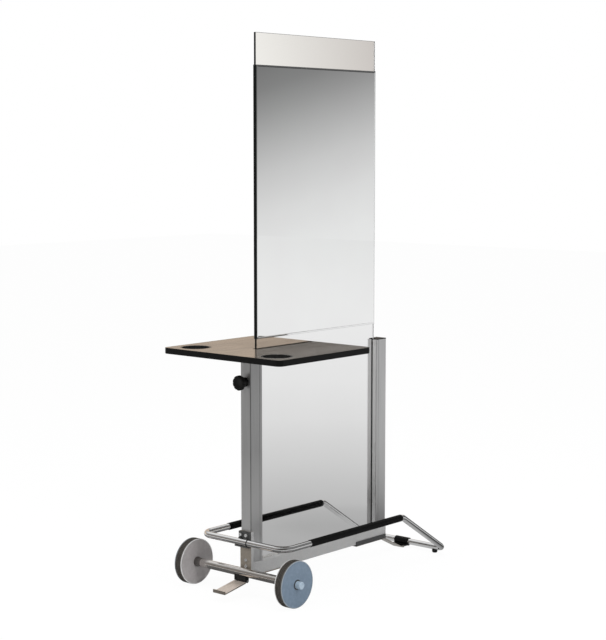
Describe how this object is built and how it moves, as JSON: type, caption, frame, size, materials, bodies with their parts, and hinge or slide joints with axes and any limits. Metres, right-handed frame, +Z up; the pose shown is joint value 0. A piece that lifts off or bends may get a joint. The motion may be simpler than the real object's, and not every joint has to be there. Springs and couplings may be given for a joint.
{
  "type": "double sided salon station",
  "caption": "Upright glass sheet with a mirror on each face, a table, posts on a base rail, a tubular footrest loop, front wheels and a pedal.",
  "frame": {"origin": "on the floor, under the middle of the outer box", "axes": "+Z up; X runs across the glass sheet from the far face to the near face; Y runs along the sheet from the wheel end to the rear feet"},
  "size_m": [0.5286, 1.017, 1.861],
  "materials": {
    "clear_glass": "toughened clear float glass, polished edges",
    "mirror_glass": "silvered float glass",
    "mounting_tape": "double-sided mounting tape",
    "anodised_post": "satin anodised extrusion",
    "plain_aluminium": "mill finish",
    "painted_rail": "satin grey paint",
    "dark_steel": "dark grey powder coat",
    "strap_steel": "zinc plated strip",
    "black_steel": "black oxide",
    "pedal_steel": "bare satin steel",
    "zinc_steel": "zinc plated",
    "chrome_tube": "bright chrome plate",
    "black_plastic": "moulded black",
    "ring_plastic": "moulded black, polished lip",
    "white_plastic": "natural acetal",
    "black_rubber": "black rubber",
    "sleeve_rubber": "smooth solid rubber sleeve",
    "grey_tyre": "ribbed solid tyre",
    "wheel_plastic": "moulded grey",
    "wheel_disc": "blue-grey gloss cover",
    "hub_cap": "grey cap",
    "table_laminate": "grey gloss laminate on board",
    "black_edging": "black edge band"
  },
  "bodies": {
    "frame": {"glass_sheet": "clear_glass", "mirror_near": "mirror_glass", "mirror_far": "mirror_glass", "mirror_tapes": "mounting_tape", "front_post": "anodised_post", "rear_post": "anodised_post", "front_gasket": "black_rubber", "rear_gasket": "black_rubber", "rear_post_cap": "black_plastic", "post_plugs": "plain_aluminium", "base_rail": "painted_rail", "rail_end_cap": "black_plastic", "front_bracket": "dark_steel", "frame_bolts": "zinc_steel", "crossbar_mount": "dark_steel", "crossbar_keepers": "dark_steel", "joint_ring": "black_plastic", "footrest_joiners": "plain_aluminium", "footrest_tube_near": "chrome_tube", "footrest_tube_far": "chrome_tube", "footrest_sleeve_near": "sleeve_rubber", "footrest_sleeve_far": "sleeve_rubber", "rear_foot_near": "black_rubber", "rear_foot_far": "black_rubber", "rear_shoe": "dark_steel", "rear_strap": "strap_steel", "tube_clamp": "black_plastic", "clamp_bolts": "black_steel", "axle_tube": "chrome_tube", "axle_shaft": "zinc_steel", "axle_collars": "black_plastic", "axle_cradle": "black_steel", "pedal_pin": "zinc_steel", "pedal_springs": "zinc_steel", "stem_guides": "white_plastic", "knob_nut": "zinc_steel", "hub_cap_near": "hub_cap", "hub_cap_far": "hub_cap"},
    "table": {"table_board": "table_laminate", "table_edging": "black_edging", "holder_ring_near": "ring_plastic", "holder_ring_far": "ring_plastic", "table_bracket": "dark_steel", "table_screws": "zinc_steel"},
    "knob_washer": {"knob_washer": "black_plastic"},
    "knob": {"clamp_knob": "black_plastic", "knob_stud": "zinc_steel"},
    "pedal": {"pedal": "pedal_steel"},
    "near_wheel": {"tyre_near": "grey_tyre", "wheel_core_near": "wheel_plastic", "wheel_disc_outer_near": "wheel_disc", "wheel_disc_inner_near": "wheel_disc", "wheel_bushes_near": "white_plastic"},
    "far_wheel": {"tyre_far": "grey_tyre", "wheel_core_far": "wheel_plastic", "wheel_disc_outer_far": "wheel_disc", "wheel_disc_inner_far": "wheel_disc", "wheel_bushes_far": "white_plastic"}
  },
  "joints": [
    {"name": "near_wheel_spin", "type": "hinge", "parent": "frame", "child": "near_wheel", "pos_m": [0.2275, -0.394, 0.078], "axis": [1, 0, 0], "continuous": true},
    {"name": "far_wheel_spin", "type": "hinge", "parent": "frame", "child": "far_wheel", "pos_m": [-0.2275, -0.394, 0.078], "axis": [1, 0, 0], "continuous": true},
    {"name": "table_lift", "type": "slide", "parent": "frame", "child": "table", "axis": [0, 0, 1], "range_m": [0, 0.03]},
    {"name": "knob_travel", "type": "slide", "parent": "frame", "child": "knob_washer", "axis": [0, -1, 0], "range_m": [0, 0.003]},
    {"name": "knob_turn", "type": "hinge", "parent": "knob_washer", "child": "knob", "pos_m": [0, -0.3755, 0.7165], "axis": [0, -1, 0], "range_deg": [0, 720]},
    {"name": "pedal_press", "type": "hinge", "parent": "frame", "child": "pedal", "pos_m": [0, -0.3965, 0.052], "axis": [1, 0, 0], "range_deg": [0, 12], "stiffness_Nm_per_rad": 1.6, "springref_deg": -17.19}
  ],
  "couplings": [
    {"joint": "knob_turn", "follows": "knob_travel", "rad_per_m": 4188.8}
  ]
}
